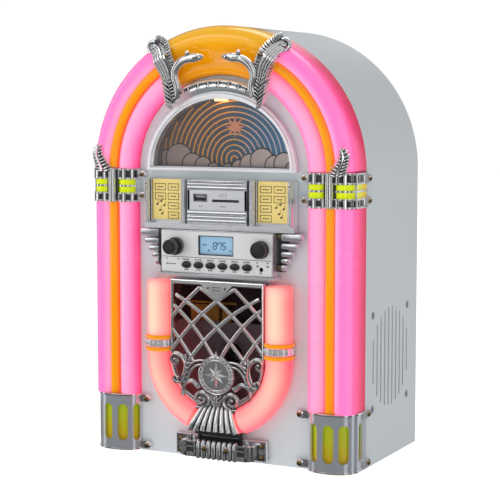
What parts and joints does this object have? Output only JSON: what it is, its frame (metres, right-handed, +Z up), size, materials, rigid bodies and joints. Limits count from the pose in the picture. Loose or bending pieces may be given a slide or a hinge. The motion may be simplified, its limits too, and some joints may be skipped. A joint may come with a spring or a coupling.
{
  "type": "tabletop jukebox radio",
  "caption": "Tabletop jukebox radio: arched cabinet, lit columns and arch, dome window, radio panel with knobs and buttons, and a disc compartment behind a front door that tips forward.",
  "frame": {"origin": "middle of the footprint, at the undersides of the rubber feet", "axes": "+Z up, +Y towards the back, +X to the right of someone facing the front"},
  "size_m": [0.2536, 0.1698, 0.379],
  "materials": {
    "cabinet_plastic": "fine satin moulded grey",
    "panel_white": "smooth white moulded plastic",
    "rubber": "matt black rubber",
    "speaker": "black frame and paper cone",
    "pink_diffuser": "translucent glossy plastic, lit from behind",
    "orange_diffuser": "translucent orange plastic",
    "amber_diffuser": "translucent amber plastic",
    "lime_diffuser": "translucent yellow-green plastic",
    "tube_diffuser": "translucent warm white plastic, lit from behind",
    "chrome": "bright plated plastic",
    "card": "printed pale yellow card",
    "art": "printed blue card",
    "clear": "clear plastic window",
    "smoked": "smoked clear plastic",
    "black_plastic": "satin black plastic",
    "lcd": "backlit display",
    "circuit_board": "green board",
    "steel": "plain steel",
    "deck_plastic": "grey moulded plastic"
  },
  "bodies": {
    "cabinet": {"cabinet_shell": "cabinet_plastic", "rear_panel": "cabinet_plastic", "front_baffle": "panel_white", "crown_lens": "amber_diffuser", "brow_trim": "chrome", "dome_frame": "chrome", "dome_lens": "clear", "dome_artwork": "art", "media_panel": "chrome", "usb_socket": "steel", "card_socket": "black_plastic", "radio_panel": "black_plastic", "lcd_display": "lcd", "radio_board": "circuit_board", "base_plate": "chrome", "cd_well": "black_plastic", "cd_deck": "deck_plastic", "main_board": "circuit_board", "power_supply": "steel", "power_inlet": "black_plastic", "rubber_foot_1": "rubber", "rubber_foot_2": "rubber", "rubber_foot_3": "rubber", "rubber_foot_4": "rubber", "speaker_left": "speaker", "pillar_left": "pink_diffuser", "arch_tube_left": "pink_diffuser", "light_strip_left": "orange_diffuser", "collar_left": "chrome", "collar_light_left": "lime_diffuser", "foot_socket_left": "chrome", "foot_light_left": "lime_diffuser", "phoenix_left": "chrome", "title_card_left": "card", "speaker_right": "speaker", "pillar_right": "pink_diffuser", "arch_tube_right": "pink_diffuser", "light_strip_right": "orange_diffuser", "collar_right": "chrome", "collar_light_right": "lime_diffuser", "foot_socket_right": "chrome", "foot_light_right": "lime_diffuser", "phoenix_right": "chrome", "title_card_right": "card"},
    "door": {"door_grille": "chrome", "door_window": "smoked", "door_ribs": "chrome", "door_tube_left": "tube_diffuser", "door_tube_right": "tube_diffuser", "tube_band_left": "chrome", "tube_band_right": "chrome"},
    "volume_knob": {"knob_volume": "black_plastic"},
    "tuning_knob": {"knob_tuning": "black_plastic"},
    "cd_hub": {"cd_spindle": "black_plastic"},
    "button_body_1": {"button_1": "black_plastic"},
    "button_body_2": {"button_2": "black_plastic"},
    "button_body_3": {"button_3": "black_plastic"},
    "button_body_4": {"button_4": "black_plastic"},
    "button_body_5": {"button_5": "black_plastic"},
    "button_body_6": {"button_6": "black_plastic"}
  },
  "joints": [
    {"name": "door_hinge", "type": "hinge", "parent": "cabinet", "child": "door", "pos_m": [0, -0.0631, 0.027], "axis": [1, 0, 0], "range_deg": [0, 35]},
    {"name": "volume_turn", "type": "hinge", "parent": "cabinet", "child": "volume_knob", "pos_m": [-0.0385, -0.0711, 0.19], "axis": [0, 1, 0], "range_deg": [-150, 150]},
    {"name": "tuning_turn", "type": "hinge", "parent": "cabinet", "child": "tuning_knob", "pos_m": [0.0435, -0.0711, 0.19], "axis": [0, 1, 0], "continuous": true},
    {"name": "cd_hub_turn", "type": "hinge", "parent": "cabinet", "child": "cd_hub", "pos_m": [0, -0.0421, 0.094], "axis": [0, 1, 0], "continuous": true},
    {"name": "button_press_1", "type": "slide", "parent": "cabinet", "child": "button_body_1", "axis": [0, 1, 0], "range_m": [0, 0.001], "stiffness_N_per_m": 400},
    {"name": "button_press_2", "type": "slide", "parent": "cabinet", "child": "button_body_2", "axis": [0, 1, 0], "range_m": [0, 0.001], "stiffness_N_per_m": 400},
    {"name": "button_press_3", "type": "slide", "parent": "cabinet", "child": "button_body_3", "axis": [0, 1, 0], "range_m": [0, 0.001], "stiffness_N_per_m": 400},
    {"name": "button_press_4", "type": "slide", "parent": "cabinet", "child": "button_body_4", "axis": [0, 1, 0], "range_m": [0, 0.001], "stiffness_N_per_m": 400},
    {"name": "button_press_5", "type": "slide", "parent": "cabinet", "child": "button_body_5", "axis": [0, 1, 0], "range_m": [0, 0.001], "stiffness_N_per_m": 400},
    {"name": "button_press_6", "type": "slide", "parent": "cabinet", "child": "button_body_6", "axis": [0, 1, 0], "range_m": [0, 0.001], "stiffness_N_per_m": 400}
  ]
}
